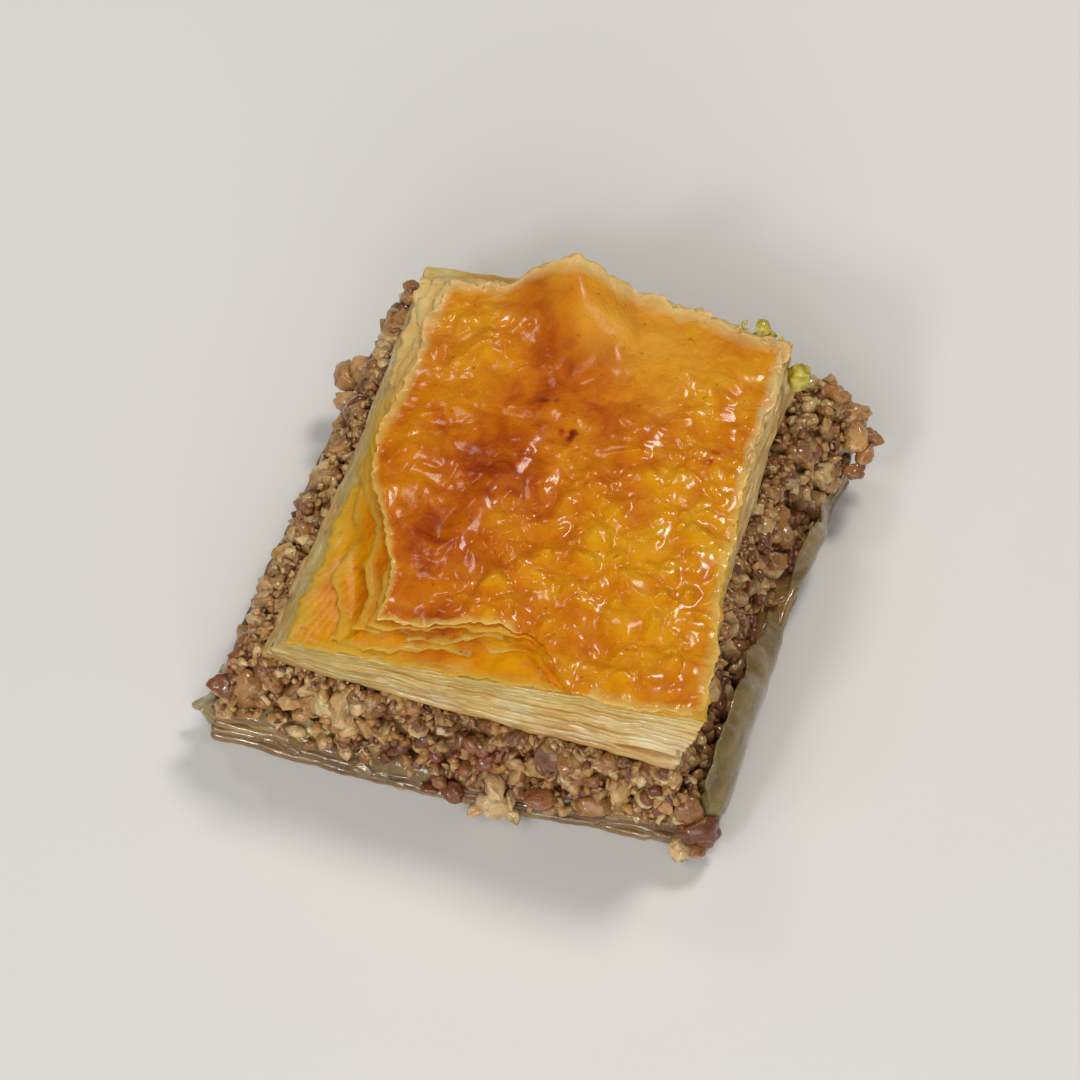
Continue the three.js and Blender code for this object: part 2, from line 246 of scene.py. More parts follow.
def cut_sheet(pieces, outlines, share, height, thickness, ragged, seed):
    """Adds one wavy sheet with a knife-cut edge. height(x, y, near_edge) gives its middle."""
    sheet = bmesh.new()
    level = sheet.verts.layers.float.new("level")
    bmesh.ops.create_grid(sheet, x_segments=SHEET_STEPS, y_segments=SHEET_STEPS, size=0.5)
    middle = [
        face for face in sheet.faces
        if max(abs(c) for c in face.calc_center_median().xy) < 0.5 - SHEET_BAND
    ]
    bmesh.ops.dissolve_faces(sheet, faces=middle)
    for vert in sheet.verts:
        u, v = vert.co.x + 0.5, vert.co.y + 0.5
        x, y = between(outlines, share, u, v)
        near_edge = 1 - ease(0.5 - max(abs(vert.co.x), abs(vert.co.y)), 0.0, EDGE_BAND)
        together = wander(x + 40, y, 0.36 * share, 6.5) + 0.5 * wander(x, y + 40, 0.55 * share, 2.4)
        clump = math.floor(4.2 * share + 0.9 * wander(x, y, 33, 9.0))
        together += 1.1 * wander(x, y, 17.3 + 3 * clump, 6.0)
        alone = 0.5 * wander(x, y, seed, 5.0) + 0.5 * wander(x, y, seed + 50, 1.9)
        alone += 0.3 * wander(x, y, seed + 90, 0.8)
        drag = 0.18 * wander(x, y, 44, 0.9)
        out_x, out_y = outward(u, v)
        tear = ragged * near_edge * (0.6 * together + 0.5 * alone + drag)
        vert.co = (x + out_x * tear, y + out_y * tear, height(x, y, near_edge) - thickness / 2)
        vert[level] = share
    thicken(sheet, -thickness)
    rim = [edge for edge in sheet.edges if edge.is_manifold and edge.calc_face_angle() > SHARP]
    bmesh.ops.bevel(
        sheet, geom=rim, offset=0.4 * thickness, segments=2, profile=0.5, affect="EDGES", material=-1
    )
    take_in(pieces, sheet)


def thicken(sheet, thickness):
    """Gives a sheet its thickness and turns its faces outward."""
    bmesh.ops.solidify(sheet, geom=sheet.faces[:], thickness=thickness)
    bmesh.ops.recalc_face_normals(sheet, faces=sheet.faces[:])


def take_in(pieces, extra):
    """Moves one mesh into another."""
    passing = close_mesh("passing", extra)
    pieces.from_mesh(passing)
    bpy.data.meshes.remove(passing)


def finish_piece(name, pieces, material, node_name=None, flat_layer=None):
    """Brings a mesh to metres and makes it a piece of the part. A layer can mark faces as flat."""
    bmesh.ops.scale(pieces, vec=(MM, MM, MM), verts=pieces.verts[:])
    flat = pieces.faces.layers.float.get(flat_layer) if flat_layer else None
    for face in pieces.faces:
        face.smooth = flat is None or face[flat] < 0.5
    piece = add_object(name, close_mesh(name, pieces))
    piece.data.materials.append(material)
    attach(piece, "root")
    if node_name:
        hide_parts(node_name)


def new_group(name, inputs, outputs):
    """A shader node group. Inputs and outputs are (name, kind, default) and (name, kind)."""
    group = bpy.data.node_groups.new(name, "ShaderNodeTree")
    for label, kind, default in inputs:
        socket = group.interface.new_socket(label, in_out="INPUT", socket_type="NodeSocket" + kind)
        if default is not None:
            socket.default_value = default
    for label, kind in outputs:
        group.interface.new_socket(label, in_out="OUTPUT", socket_type="NodeSocket" + kind)
    return group, group.nodes.new("NodeGroupInput").outputs, group.nodes.new("NodeGroupOutput").inputs


def calc(tree, operation, first, second=0.0, third=0.0):
    return node(tree, "Math", {0: first, 1: second, 2: third}, operation=operation).outputs[0]


def remap(tree, value, low, high, to_low=0.0, to_high=1.0):
    settings = {"Value": value, "From Min": low, "From Max": high, "To Min": to_low, "To Max": to_high}
    return node(tree, "MapRange", settings).outputs["Result"]


def mix_color(tree, share, first, second):
    return node(tree, "Mix", {0: share, 6: first, 7: second}, data_type="RGBA").outputs[2]


def object_place(tree, squeeze=(1.0, 1.0, 1.0)):
    """Where a point is on the piece, stretched along the axes."""
    place = node(tree, "TexCoord").outputs["Object"]
    return node(tree, "Mapping", {"Vector": place, "Scale": squeeze}).outputs["Vector"]


def attribute(tree, name):
    """A value that the mesh holds at each point or face."""
    return node(tree, "Attribute", attribute_name=name).outputs["Fac"]


def toward_back(tree, place, middle, back):
    """A value that goes from the one at the middle of the piece to the one at its back."""
    depth = node(tree, "SeparateXYZ", {"Vector": place}).outputs["Y"]
    return remap(tree, depth, 0.0, 0.012, middle, back)


def use_group(tree, group, inputs):
    return node(tree, "Group", inputs, node_tree=group).outputs


def set_bump(tree, shader, height, distance):
    bump = node(tree, "Bump", {"Height": height, "Distance": distance})
    tree.links.new(bump.outputs["Normal"], shader.inputs["Normal"])


# Syrup lies in a patchy film: where it is thick the surface turns smooth and takes a clear coat.
syrup_film, film_in, film_out = new_group(
    "syrup_film",
    [("Vector", "Vector", None), ("Wetness", "Float", 0.5), ("Patch Scale", "Float", 220.0),
     ("Dry Roughness", "Float", 0.5), ("Wet Roughness", "Float", 0.16)],
    [("Roughness", "Float"), ("Coat", "Float")],
)
film_patches = clouds(syrup_film, film_in["Vector"], film_in["Patch Scale"], 4.0, 0.55)
film_level = calc(syrup_film, "ADD", film_patches, film_in["Wetness"])
film_mask = remap(syrup_film, film_level, 0.75, 1.2)
film_rough = remap(syrup_film, film_mask, 0.0, 1.0, film_in["Dry Roughness"], film_in["Wet Roughness"])
syrup_film.links.new(film_rough, film_out["Roughness"])
syrup_film.links.new(film_mask, film_out["Coat"])

# Thin pastry dries into fine creases and pores, which show as a height.
pastry_crinkle, crinkle_in, crinkle_out = new_group(
    "pastry_crinkle",
    [("Vector", "Vector", None), ("Crease Scale", "Float", 700.0), ("Pore Scale", "Float", 2600.0)],
    [("Height", "Float")],
)
crease_noise = clouds(pastry_crinkle, crinkle_in["Vector"], crinkle_in["Crease Scale"], 4.0, 0.6, 0.8)
crease_fold = calc(pastry_crinkle, "ABSOLUTE", calc(pastry_crinkle, "SUBTRACT", crease_noise, 0.5))
crease_lines = remap(pastry_crinkle, crease_fold, 0.0, 0.12, 1.0, 0.0)
pore_noise = clouds(pastry_crinkle, crinkle_in["Vector"], crinkle_in["Pore Scale"], 2.0)
crease_height = calc(pastry_crinkle, "MULTIPLY_ADD", crease_lines, 0.6, pore_noise)
pastry_crinkle.links.new(crease_height, crinkle_out["Height"])


def wet(tree, shader, place, wetness, patch_scale, dry, soaked):
    """Gives the shader the syrup film's roughness, from dry to soaked. Returns the film's coat."""
    film = use_group(tree, syrup_film, {
        "Vector": place, "Wetness": wetness, "Patch Scale": patch_scale,
        "Dry Roughness": dry, "Wet Roughness": soaked,
    })
    feed(tree, shader, Roughness=film["Roughness"])
    return film["Coat"]


def soaked_material(name, alpha=None, tint=0.0):
    """Pastry full of syrup: beige, glassy, with greyer and more golden streaks along the sheets."""
    material, tree, shader = new_material(
        name, Subsurface_Weight=0.6, Subsurface_Radius=(1.0, 0.7, 0.4), Subsurface_Scale=0.0016,
        Coat_Roughness=0.08, Specular_IOR_Level=0.4,
    )
    place = object_place(tree)
    streaks = clouds(tree, object_place(tree, (1.0, 1.0, 6.0)), 150.0, 4.0, 0.6, 0.4)
    patches = clouds(tree, place, 90.0, 3.0)
    color = ramp(tree, streaks, [
        (0.30, 90, 64, 28), (0.46, 114, 84, 39), (0.60, 138, 106, 54), (0.74, 170, 140, 84),
    ])
    color = mix_color(tree, remap(tree, patches, 0.45, 0.7, 0.0, 0.6), color, srgb(156, 110, 54))
    color = mix_color(tree, tint, color, srgb(170, 153, 97))
    coat = wet(tree, shader, place, wetness=0.62, patch_scale=260.0, dry=0.42, soaked=0.16)
    feed(tree, shader, Base_Color=color, Coat_Weight=coat)
    leaves = clouds(tree, object_place(tree, (0.25, 0.25, 7.0)), 420.0, 2.0)
    crinkle = use_group(tree, pastry_crinkle, {"Vector": place, "Crease Scale": 420.0, "Pore Scale": 1500.0})
    set_bump(tree, shader, calc(tree, "MULTIPLY_ADD", leaves, 1.5, crinkle["Height"]), 0.07 * MM)
    if alpha is not None:
        thin = clouds(tree, object_place(tree, (1.0, 1.0, 2.2)), 240.0, 4.0, 0.55, 0.4)
        feed(tree, shader, Alpha=remap(tree, thin, 0.3, 0.7, alpha - 0.3, alpha + 0.3))
    return material


soaked_pastry = soaked_material("soaked_pastry")
foot = bmesh.new()
foot_pitch = FOOT_TOP / FOOT_SHEETS
for layer in range(FOOT_SHEETS):
    level = max(layer + 0.5, FOOT_REST) * foot_pitch
    freedom = 0.0 if layer == 0 else 1.0

    def foot_height(x, y, near_edge):
        sag = 0.20 * wander(x, y, 3, 6.5) * layer / FOOT_SHEETS
        own = 0.10 * wander(x, y, layer + 5, 5.0) + 0.16 * near_edge * wander(x, y, layer + 20, 2.2)
        return level + freedom * (sag + own)

    cut_sheet(foot, FOOT_OUTLINES, layer / (FOOT_SHEETS - 1), foot_height, 1.3 * foot_pitch, 0.5, layer + 1)
finish_piece("soaked_sheets", foot, soaked_pastry, "base_pastry")


# ---- The loose film of the foot ----
# The outermost soaked sheets came away from the foot. They wrap up round the front right corner, against
# the walnuts and thin enough for them to show through, and lift a little along the front on the left. At
# the front left corner a limp tip of the film sticks out.

FILM_THICKNESS = 0.16
# Each wrap: where it runs round the foot (0 to 1 along the front, 1 to 2 up the right side), how high its
# crest stands, how far it bulges out and leans in at the top, and the share of its run to its crest.
FILM_WRAPS = (
    {"from": 0.84, "to": 1.62, "height": 6.4, "bulge": 1.5, "lean": 1.4, "crest": 0.38},
    {"from": 0.80, "to": 1.48, "height": 4.8, "bulge": 0.5, "lean": 0.9, "crest": 0.42},
    {"from": 1.60, "to": 1.93, "height": 3.6, "bulge": 0.9, "lean": 0.2, "crest": 0.20},
    {"from": 0.01, "to": 0.42, "height": 1.6, "bulge": 0.6, "lean": 0.4, "crest": 0.30},
)
FILM_FLAP = {"tip": (-22.6, -22.8, 2.3), "top": (-19.9, -20.2, 5.4), "foot": (-20.0, -23.6, 0.5)}


def bent_film(pieces, along, across, bend):
    """Adds a thin sheet whose middle is bend(a, b), a along it and b across it, 0 to 1 each."""
    film = bmesh.new()
    bmesh.ops.create_grid(film, x_segments=along, y_segments=across, size=0.5)
    for vert in film.verts:
        vert.co = bend(vert.co.x + 0.5, vert.co.y + 0.5)
    bmesh.ops.recalc_face_normals(film, faces=film.faces[:])
    thicken(film, FILM_THICKNESS)
    take_in(pieces, film)


def round_foot(run):
    """The foot's rim at a run round it, with its corner rounded, and the way out of it there."""
    points = []
    for step in (-0.03, -0.015, 0.0, 0.015, 0.03):
        at = run + step
        u, v = (at, 0.0) if at < 1 else (1.0, at - 1)
        points.append(spot(FOOT_OUTLINES[1], u, v))
    x = sum(point[0] for point in points) / len(points)
    y = sum(point[1] for point in points) / len(points)
    along_x, along_y = points[-1][0] - points[0][0], points[-1][1] - points[0][1]
    length = math.hypot(along_x, along_y)
    return x, y, along_y / length, -along_x / length


def wrap_bend(wrap, seed):
    """The bend of a wrap, which runs along the foot with a and rises with b."""
    def bend(a, b):
        run = lerp(wrap["from"], wrap["to"], a)
        x, y, out_x, out_y = round_foot(run)
        rise = ease(a, 0.0, wrap["crest"]) * (1 - ease(a, wrap["crest"], 1.0) ** 1.5)
        ragged = 1 + 0.22 * wander(40 * run, 0, seed, 3.2)
        z = FOOT_TOP - 1.4 + b * (1.2 + wrap["height"] * rise * ragged)
        z += 0.8 * rise * b ** 5 * wander(40 * run, 0, seed + 4, 0.9)
        sway = 0.55 * wander(40 * run, 3.0 * b, seed + 7, 3.6)
        sway += 0.20 * wander(40 * run + 3.0 * b, 4.0 * b, seed + 9, 2.1)
        out = sway * (0.3 + 0.7 * b) - 0.25 - wrap["lean"] * b ** 3
        out += wrap["bulge"] * math.sin(2.6 * b) * (rise + 0.6 * ease(run, 1.1, 1.4)) / 1.3
        return x + out_x * out, y + out_y * out, z
    return bend


def flap_bend(a, b):
    """The tip that sticks out, from its end at a = 0 to its root down the corner."""
    tip, top, bottom = (Vector(FILM_FLAP[part]) for part in ("tip", "top", "foot"))
    place = tip.lerp(top.lerp(bottom, b), a * (0.85 + 0.15 * a)) + Vector((0, 0, 0.6 * (0.5 - b) * (1 - a)))
    wave = 0.45 * math.sin(4 * b + 3 * a) + 0.3 * wander(5 * a, 5 * b, 4, 1.3)
    return place + Vector((0.4, -0.9, 0.2)) * wave * math.sin(math.pi * min(1.0, 0.15 + a))


film = bmesh.new()
for index, wrap in enumerate(FILM_WRAPS):
    bent_film(film, along=120, across=30, bend=wrap_bend(wrap, 11 + 20 * index))
bent_film(film, along=30, across=34, bend=flap_bend)
finish_piece("loose_film", film, soaked_material("loose_film", alpha=0.56, tint=0.45))


# ---- The walnut filling ----
# A bed of chopped walnuts, bound with sugar and syrup. Each piece is a bit of kernel: a knobbly brown skin
# and a few pale faces where the knife went through. Crumbs fill the gaps between them.

STACK_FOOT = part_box("top_pastry")[0].z / MM
FILLING_FOOT = FOOT_TOP + 0.2
FILLING_TOP = STACK_FOOT - 0.3
FILLING_OUTLINES = (
    (((-20.3, -23.5), (21.0, -20.5), (21.2, 21.4), (-20.2, 20.8)), (0.2, -1.9, 1.3, 0.4)),
    (((-18.4, -22.6), (18.6, -20.8), (18.4, 21.6), (-18.8, 19.6)), (0.2, -1.0, 1.0, 0.0)),
)
LEDGE_INSIDE = (((-16.9, -21.5), (19.0, -20.6), (15.8, 19.8), (-18.2, 18.0)), (0.2, -0.6, 0.6, -0.4))
CORE_INSET = 1.0
HOLLOW = {"x": 1.5, "z": 8.4, "width": 3.4, "height": 1.7, "depth": 2.6}  # an open spot at the front
# How many pieces, their least and greatest size, and how finely each is made.
CHOPPED_SIZES = ((120, 2.2, 3.5, 3), (560, 1.3, 2.3, 2), (1300, 0.5, 1.3, 1))
LEDGE_CHUNKS = 420
LEDGE_CRUMBS = 900
SPILLED_CHUNKS = 200
SKIN_FLAKES = 70
CHOPPED_SEED, STRAY_SEED = 11, 8
# The noise that shapes a piece: how strong it is and how fine.
LOBES, KNOBS, GROOVES = (0.34, 2.4), (0.20, 6.0), (0.16, 3.4)
TOUCHING = 0.05  # a crumb that stands off the bed by more than this is set down on it
SETTLE_DEPTH = 0.15  # and goes this far into it
# Pieces that stand out: middle, size and how dark their skin is.
STRAY_CHUNKS = (
    ((21.2, 19.9, 6.2), 2.9, 0.15), ((20.4, 21.6, 6.6), 2.7, 0.1), ((18.9, 22.2, 6.9), 2.4, 0.4),
    ((22.4, 18.7, 5.6), 2.3, 0.35), ((21.9, 21.0, 5.4), 2.3, 0.5), ((17.4, 22.4, 5.6), 2.4, 0.3),
    ((21.9, 17.2, 5.2), 2.0, 0.6),
    ((4.4, -23.0, 4.2), 2.5, -0.12), ((4.9, -23.7, 2.3), 2.9, -0.28), ((4.0, -23.9, 3.0), 1.9, -0.2),
    ((5.7, -23.4, 3.3), 1.9, -0.1), ((3.2, -23.8, 1.4), 2.0, -0.1), ((6.2, -23.6, 1.6), 1.5, 0.0),
    ((0.8, -23.6, 2.4), 2.2, 0.85), ((-1.2, -23.6, 1.9), 1.6, 0.9), ((-0.4, -23.5, 3.2), 1.5, 0.6),
    ((8.2, -22.6, 3.7), 2.6, 0.5), ((12.4, -21.9, 3.9), 2.5, 0.4), ((20.2, -20.3, 5.4), 2.6, 0.55),
    ((21.4, -20.7, 3.7), 3.1, 0.95), ((20.4, -21.1, 3.5), 2.2, 0.8), ((22.1, -20.5, 2.6), 2.4, 0.9),
    ((20.3, -21.9, 1.8), 2.4, 0.0), ((21.4, -21.6, 1.5), 2.0, 0.55), ((-22.0, 12.0, 4.9), 2.8, 0.3),
    ((-20.8, 12.4, 5.8), 2.6, 0.15), ((-21.0, 9.4, 5.0), 2.4, 0.1), ((-20.4, 6.6, 5.8), 2.2, 0.2),
)


def new_bed():
    """A mesh whose faces say whether they are cut flesh, and how dark their skin is."""
    bed = bmesh.new()
    bed.faces.layers.float.new("flesh")
    bed.faces.layers.float.new("tone")
    return bed


def walnut_piece(bed, rng, middle, size, skin_tone, fine, squash=1.0, cuts=(1, 2, 3, 3)):
    """Adds one chopped piece: a knobbly lump with the knife's flat faces."""
    lump = new_bed()
    flesh, tone = (lump.faces.layers.float[name] for name in ("flesh", "tone"))
    bmesh.ops.create_icosphere(lump, subdivisions=fine, radius=0.54)
    shift = Vector((rng.uniform(-50, 50), rng.uniform(-50, 50), rng.uniform(-50, 50)))
    for vert in lump.verts:
        lobes = LOBES[0] * noise.noise(vert.co * LOBES[1] + shift)
        knobs = KNOBS[0] * noise.noise(vert.co * KNOBS[1] + shift)
        groove = GROOVES[0] * abs(noise.noise(vert.co * GROOVES[1] - shift))
        vert.co *= 1 + lobes + knobs - groove
    thin = rng.uniform(0.5, 0.9) * squash
    bmesh.ops.scale(lump, vec=(1, rng.uniform(0.65, 1.0), thin), verts=lump.verts[:])
    for _ in range(rng.choice(cuts)):
        way = Vector((rng.gauss(0, 1), rng.gauss(0, 1), rng.gauss(0, 1) / squash)).normalized()
        bmesh.ops.bisect_plane(
            lump, geom=lump.verts[:] + lump.edges[:] + lump.faces[:],
            plane_co=way * rng.uniform(0.08, 0.34) * thin, plane_no=way, clear_outer=True,
        )
        rim = [edge for edge in lump.edges if edge.is_boundary]
        for face in bmesh.ops.holes_fill(lump, edges=rim)["faces"]:
            face[flesh] = 1.0
    for face in lump.faces:
        face[tone] = skin_tone
    turn = Matrix.Rotation(rng.uniform(0, 6.28), 4, "Z") @ Matrix.Rotation(rng.uniform(0, 3.14), 4, "X")
    place = Matrix.Translation(middle) @ turn @ Matrix.Scale(size, 4)
    bmesh.ops.transform(lump, matrix=place, verts=lump.verts[:])
    for vert in lump.verts:
        vert.co.z = max(vert.co.z, CLEARANCE)
    take_in(bed, lump)


def skin_shade(rng, x, y):
    """A piece's darkness: paler at the front left, darker along the middle of the front."""
    pale = math.exp(-((x + 15) ** 2 + (y + 22) ** 2) / 90)
    dark = math.exp(-((x - 1) ** 2 + (y + 22) ** 2) / 50)
    return min(1.0, max(0.0, rng.random() ** (1.25 + 1.2 * pale) + 0.22 * dark))


def stand_off(surface, point):
    """How far a point lies outside a surface, and the step to the nearest spot on it."""
    place, way, _, distance = surface.find_nearest(point)
    inside = (point - place).dot(way) < -0.5 * distance
    return 0.0 if inside else distance, place - point


def settle(crumbs, bed):
    """Brings each crumb that hangs clear of the bed onto the chunk nearest to it."""
    surface = BVHTree.FromBMesh(bed)
    seen = set()
    for start in crumbs.verts:
        if start in seen:
            continue
        seen.add(start)
        crumb = [start]
        for vert in crumb:
            for edge in vert.link_edges:
                other = edge.other_vert(vert)
                if other not in seen:
                    seen.add(other)
                    crumb.append(other)
        gap, step = min((stand_off(surface, vert.co) for vert in crumb), key=lambda reach: reach[0])
        if gap > TOUCHING:
            step += step.normalized() * SETTLE_DEPTH
            for vert in crumb:
                vert.co += step


def hollow_share(x, y, z):
    """1 in the middle of the open spot at the front, and 0 outside it."""
    if y > -12:
        return 0.0
    gap = math.hypot((x - HOLLOW["x"]) / HOLLOW["width"], (z - HOLLOW["z"]) / HOLLOW["height"])
    return 1 - ease(gap, 0.5, 1.15)


def rim_place(rng, right_share=1):
    """A random u, v on the four sides. The right one may come up more often."""
    along = rng.random()
    return rng.choice(((along, 0.0), (along, 1.0), (0.0, along)) + right_share * ((1.0, along),))


def side_place(rng):
    """A random place on the cut sides, and the way out of them there."""
    share = rng.random()
    u, v = rim_place(rng)
    x, y = between(FILLING_OUTLINES, share, u, v)
    return x, y, FILLING_FOOT + share * (FILLING_TOP - FILLING_FOOT), outward(u, v)


bed, crumbs, core = new_bed(), new_bed(), new_bed()
core_tone = core.faces.layers.float["tone"]
bmesh.ops.create_cube(core, size=1.0)
bmesh.ops.subdivide_edges(core, edges=core.edges[:], cuts=62, use_grid_fill=True)
for vert in core.verts:
    u, v, share = vert.co.x + 0.5, vert.co.y + 0.5, vert.co.z + 0.5
    x, y = between(FILLING_OUTLINES, share, u, v)
    out_x, out_y = outward(u, v)
    near_side = ease(max(abs(vert.co.x), abs(vert.co.y)), 0.42, 0.5)
    z = FILLING_FOOT - 0.2 + share * (FILLING_TOP - 0.4 - FILLING_FOOT)
    inset = CORE_INSET + 0.5 * wander(x + y, z, 3, 1.6) + 0.45 * wander(x + y, z, 4, 0.9)
    inset += HOLLOW["depth"] * hollow_share(x, y, z)
    z += share * (0.3 * wander(x, y, 8, 1.8) + 0.3 * wander(x, y, 9, 0.9))
    vert.co = (x - out_x * inset * near_side, y - out_y * inset * near_side, z)
for face in core.faces:
    face[core_tone] = 0.2 + 0.7 * noise.cell(face.calc_center_median() * 1.6)
take_in(bed, core)

rng = random.Random(CHOPPED_SEED)
for count, low, high, fine in CHOPPED_SIZES:
    for _ in range(count):
        size = rng.uniform(low, high)
        x, y, z, (out_x, out_y) = side_place(rng)
        z = min(max(z, FILLING_FOOT + 0.3 * size), FILLING_TOP + 0.25 - 0.36 * size)
        stand = rng.uniform(-0.46, -0.10) * size + 0.4
        if fine == 1:
            stand = rng.uniform(-0.6, 0.5)
        stand -= HOLLOW["depth"] * hollow_share(x, y, z)
        middle = Vector((x + out_x * stand, y + out_y * stand, z))
        shade = skin_shade(rng, x, y)
        walnut_piece(crumbs if fine == 1 else bed, rng, middle, size, shade, fine)
for _ in range(LEDGE_CHUNKS):
    size = rng.uniform(0.7, 2.2)
    u, v = rim_place(rng, right_share=2)
    x, y = between((LEDGE_INSIDE, FILLING_OUTLINES[1]), rng.uniform(-0.1, 1.05), u, v)
    z = FILLING_TOP - 0.25 * size - HOLLOW["depth"] * hollow_share(x, y, FILLING_TOP - 1)
    walnut_piece(bed, rng, Vector((x, y, z)), size, skin_shade(rng, x, y), 2)
for _ in range(LEDGE_CRUMBS):
    u, v = rim_place(rng)
    x, y = between((LEDGE_INSIDE, FILLING_OUTLINES[1]), rng.uniform(-0.3, 1.0), u, v)
    middle = Vector((x, y, FILLING_TOP + rng.uniform(-0.6, 0.15)))
    walnut_piece(crumbs, rng, middle, rng.uniform(0.5, 1.2), skin_shade(rng, x, y), 1)
for _ in range(SPILLED_CHUNKS):
    size = rng.uniform(0.6, 2.0)
    along = rng.betavariate(1.6, 1.6)
    x, y = spot(FOOT_OUTLINES[1], 0.06 + 0.94 * along, 0.0)
    reach = math.sin(math.pi * along)
    z = rng.uniform(3.9 - 2.6 * reach, 4.3)
    middle = Vector((x, y + rng.uniform(-0.55, 0.5), z))
    walnut_piece(bed, rng, middle, size, skin_shade(rng, x, y), 2)
for _ in range(SKIN_FLAKES):
    x, y, z, (out_x, out_y) = side_place(rng)
    stand = rng.uniform(0.1, 0.5) - HOLLOW["depth"] * hollow_share(x, y, z)
    middle = Vector((x + out_x * stand, y + out_y * stand, z))
    walnut_piece(crumbs, rng, middle, rng.uniform(0.9, 1.8), rng.uniform(0.8, 1.0), 2, squash=0.3)
rng = random.Random(STRAY_SEED)
for middle, size, skin_tone in STRAY_CHUNKS:
    walnut_piece(bed, rng, Vector(middle), size, skin_tone, 3, cuts=(0, 0, 1))
settle(crumbs, bed)


def walnut_material():
    """Brown skin with dark veins, and paler flesh where the knife went through."""
    material, tree, shader = new_material(
        "walnut", Subsurface_Weight=0.35, Subsurface_Radius=(1.0, 0.5, 0.25), Subsurface_Scale=0.0012,
        Coat_Roughness=0.14, Specular_IOR_Level=0.3,
    )
    place = object_place(tree)
    tone, flesh = attribute(tree, "tone"), attribute(tree, "flesh")
    veins = clouds(tree, place, 900.0, 5.0, 0.65, 1.2)
    skin_color = ramp(tree, tone, [
        (0.0, 222, 188, 130), (0.18, 196, 148, 84), (0.42, 166, 114, 58), (0.7, 136, 82, 40),
        (1.0, 108, 54, 30),
    ])
    vein_share = remap(tree, veins, 0.50, 0.68, 0.0, 0.7)
    skin_color = mix_color(tree, vein_share, skin_color, srgb(78, 44, 20))
    red_patches = remap(tree, clouds(tree, place, 160.0, 2.0), 0.55, 0.68, 0.0, 0.4)
    skin_color = mix_color(tree, red_patches, skin_color, srgb(150, 78, 44))
    flesh_grain = clouds(tree, place, 700.0, 4.0, 0.6)
    flesh_stops = [(0.35, 158, 114, 64), (0.5, 194, 152, 96), (0.7, 222, 188, 136)]
    flesh_color = ramp(tree, flesh_grain, flesh_stops)
    flesh_dark = remap(tree, tone, 0.2, 1.0, 0.0, 0.8)
    flesh_color = mix_color(tree, flesh_dark, flesh_color, srgb(134, 88, 46))
    color = mix_color(tree, flesh, skin_color, flesh_color)
    fresh_share = remap(tree, tone, -0.3, 0.0, 0.5, 0.0)
    color = mix_color(tree, fresh_share, color, srgb(234, 202, 150))
    coat = wet(tree, shader, place, wetness=0.60, patch_scale=420.0, dry=0.6, soaked=0.22)
    coat = calc(tree, "MULTIPLY", coat, remap(tree, flesh, 0.0, 1.0, 1.0, 0.3))
    feed(tree, shader, Base_Color=color, Coat_Weight=coat)
    set_bump(tree, shader, veins, 0.3 * MM)
    return material


walnut = walnut_material()
finish_piece("walnut_bed", bed, walnut, "nut_filling")
finish_piece("walnut_crumbs", crumbs, walnut)


# ---- The upper stack: cut sheets ----
# Eleven buttered sheets of pastry over the walnuts, baked soft inside. The cut shows them as cream lines,
# golden near the crust and darker near the filling. The stack leans out to the right as it goes up.

STACK_OUTLINES = (
    LEDGE_INSIDE,
    (((-14.4, -21.8), (21.2, -19.4), (15.2, 19.0), (-16.9, 17.6)), (0.2, -1.0, 1.8, -0.8)),
)
STACK_BOX = ((-16.0, -20.5), (20.0, 19.0))
SHEET_HEIGHTS = (13.8, 16.9, 17.2, 15.8)  # at the corners, front left first and round to the right
LEAF_HEIGHTS = (16.2, 17.2, 17.6, 16.6)
CROWN = 0.9
# The sheets' thicknesses from the lowest up, in shares of the whole: some are fused together.
SHEET_PITCHES = (1.3, 1.0, 1.6, 0.8, 1.4, 0.7, 1.1, 0.7, 0.9, 0.6, 0.6)
# The cut sheets get a painted highlight round this spot, just under the crust at the front right corner.
PAINTED_HIGHLIGHT_SPOT = (0.0182, -0.0205, 0.0142)  # in metres, where the cut sheets are palest


def corner_blend(heights, x, y):
    """A height given at the stack's four corners, blended across it."""
    (low_x, low_y), (high_x, high_y) = STACK_BOX
    u = min(1.0, max(0.0, (x - low_x) / (high_x - low_x)))
    v = min(1.0, max(0.0, (y - low_y) / (high_y - low_y)))
    near, far = lerp(heights[0], heights[1], u), lerp(heights[3], heights[2], u)
    crown = CROWN * math.sin(math.pi * u) * math.sin(math.pi * v)
    return lerp(near, far, v) + crown


stack_lower, stack_upper = bmesh.new(), bmesh.new()
for sheets in (stack_lower, stack_upper):
    sheets.verts.layers.float.new("level")
for layer, pitch in enumerate(SHEET_PITCHES):
    share = (sum(SHEET_PITCHES[:layer]) + 0.5 * pitch) / (sum(SHEET_PITCHES) + 0.1)

    def stack_height(x, y, near_edge):
        rim = corner_blend(SHEET_HEIGHTS, x, y)
        loose = math.sin(math.pi * share)
        shared = 0.30 * loose * wander(x, y, 60, 5.0) + 0.22 * loose * wander(x, y, 61 + 0.2 * share, 2.2)
        own = 0.09 * wander(x, y, layer + 61, 3.0) + 0.07 * near_edge * wander(x, y, layer + 81, 1.1)
        droop = -0.5 * near_edge * (1 - share) ** 3 * max(0.0, wander(x, y, 64, 4.0))
        return STACK_FOOT + share * (rim - STACK_FOOT) + shared + own + droop

    target = stack_lower if layer < len(SHEET_PITCHES) // 2 else stack_upper
    cut_sheet(target, STACK_OUTLINES, share, stack_height, 0.6 * pitch, 0.42, layer + 30)


